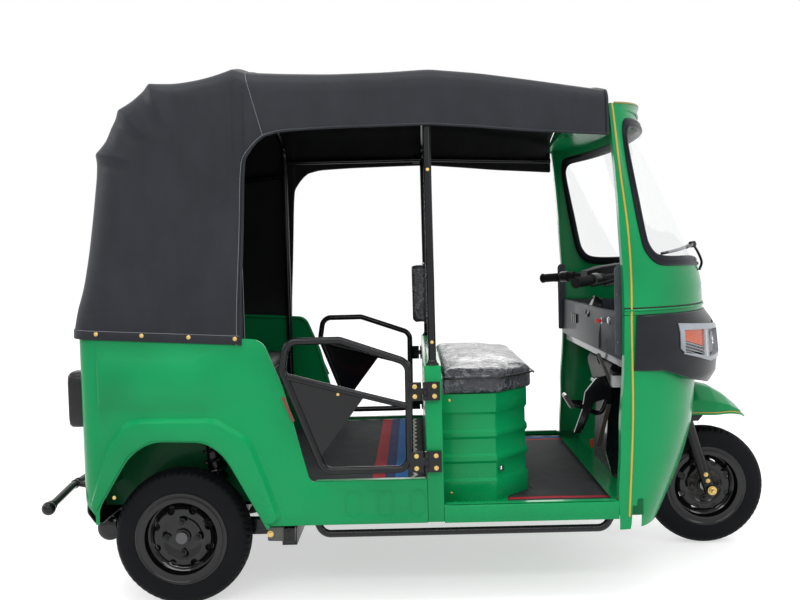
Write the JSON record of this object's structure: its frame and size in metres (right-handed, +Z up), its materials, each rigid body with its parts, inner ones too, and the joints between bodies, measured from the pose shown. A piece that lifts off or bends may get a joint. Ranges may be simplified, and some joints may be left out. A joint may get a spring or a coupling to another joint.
{
  "type": "auto rickshaw",
  "caption": "Three-wheeled passenger taxi with a rounded cowl, curved windscreen, open driver's cab, tube door guards and a folding vinyl hood.",
  "frame": {"origin": "on the ground under the middle of the vehicle's box", "axes": "+X forward, +Y to the vehicle's left, +Z up"},
  "size_m": [2.6799, 1.324, 1.872],
  "materials": {
    "body_green": "gloss",
    "frame_black": "gloss",
    "wheel_black": "gloss",
    "tyre": "matte",
    "hood_vinyl": "grained",
    "seat_vinyl": "satin",
    "floor_mat": "matte",
    "glass": "clear",
    "seal": "matte",
    "mask_black": "gloss",
    "lamp_clear": "clear",
    "lamp_red": "gloss",
    "trim_grey": "satin",
    "inner_paint": "satin",
    "bar_grip": "matte",
    "engine_metal": "rough",
    "steel": "worn"
  },
  "bodies": {
    "chassis": {"chassis_frame": "frame_black", "passenger_floor": "body_green", "driver_floor": "body_green", "partition": "body_green", "body_side_right": "body_green", "body_side_left": "body_green", "rear_panel": "body_green", "rear_wheel_housings": "body_green", "seat_deck": "body_green", "rear_seat_cushion": "seat_vinyl", "rear_seat_back": "seat_vinyl", "passenger_mat": "floor_mat", "driver_mat": "floor_mat", "driver_seat_box": "body_green", "driver_seat_cushion": "seat_vinyl", "driver_backrest": "seat_vinyl", "cowl_lower": "body_green", "cowl_upper": "body_green", "windscreen": "glass", "windscreen_gasket": "seal", "lamp_mask": "mask_black", "headlamps": "lamp_clear", "roof_visor": "body_green", "dash": "trim_grey", "dash_cheeks": "trim_grey", "front_wheel_housing": "inner_paint", "pedals": "steel", "rear_axles": "steel", "rear_suspension": "frame_black", "engine_block": "engine_metal", "muffler": "steel", "rear_bumper": "frame_black", "rear_valance": "frame_black", "tail_lamps": "lamp_red", "side_bars": "frame_black", "hinge_brackets": "frame_black", "roof_frame": "frame_black", "canopy": "hood_vinyl", "rear_window": "glass"},
    "rear_hatch": {"rear_hatch": "body_green"},
    "steering": {"fork": "frame_black", "handlebar": "bar_grip", "front_mudguard": "body_green"},
    "front_wheel": {"front_rim": "wheel_black", "front_tyre": "tyre"},
    "rear_wheel_right": {"rear_rim_right": "wheel_black", "rear_tyre_right": "tyre"},
    "rear_wheel_left": {"rear_rim_left": "wheel_black", "rear_tyre_left": "tyre"},
    "guard_right": {"door_guard_right": "frame_black"},
    "guard_left": {"door_guard_left": "frame_black"}
  },
  "joints": [
    {"name": "steering", "type": "hinge", "parent": "chassis", "child": "steering", "pos_m": [1.11688, 0, 0.229], "axis": [-0.2932, 0, 0.956], "range_deg": [-36, 36]},
    {"name": "front_wheel_spin", "type": "hinge", "parent": "steering", "child": "front_wheel", "pos_m": [1.108, 0, 0.232], "axis": [0, 1, 0], "continuous": true},
    {"name": "rear_wheel_right_spin", "type": "hinge", "parent": "chassis", "child": "rear_wheel_right", "pos_m": [-0.835, -0.554, 0.232], "axis": [0, 1, 0], "continuous": true},
    {"name": "rear_wheel_left_spin", "type": "hinge", "parent": "chassis", "child": "rear_wheel_left", "pos_m": [-0.835, 0.554, 0.232], "axis": [0, 1, 0], "continuous": true},
    {"name": "door_guard_right_swing", "type": "hinge", "parent": "chassis", "child": "guard_right", "pos_m": [0.003, -0.655, 0.6], "axis": [0, 0, 1], "range_deg": [0, 110]},
    {"name": "door_guard_left_swing", "type": "hinge", "parent": "chassis", "child": "guard_left", "pos_m": [0.003, 0.655, 0.6], "axis": [0, 0, -1], "range_deg": [0, 110]},
    {"name": "rear_hatch_lift", "type": "hinge", "parent": "chassis", "child": "rear_hatch", "pos_m": [-1.169, 0, 0.808], "axis": [0, 1, 0], "range_deg": [0, 80]}
  ]
}
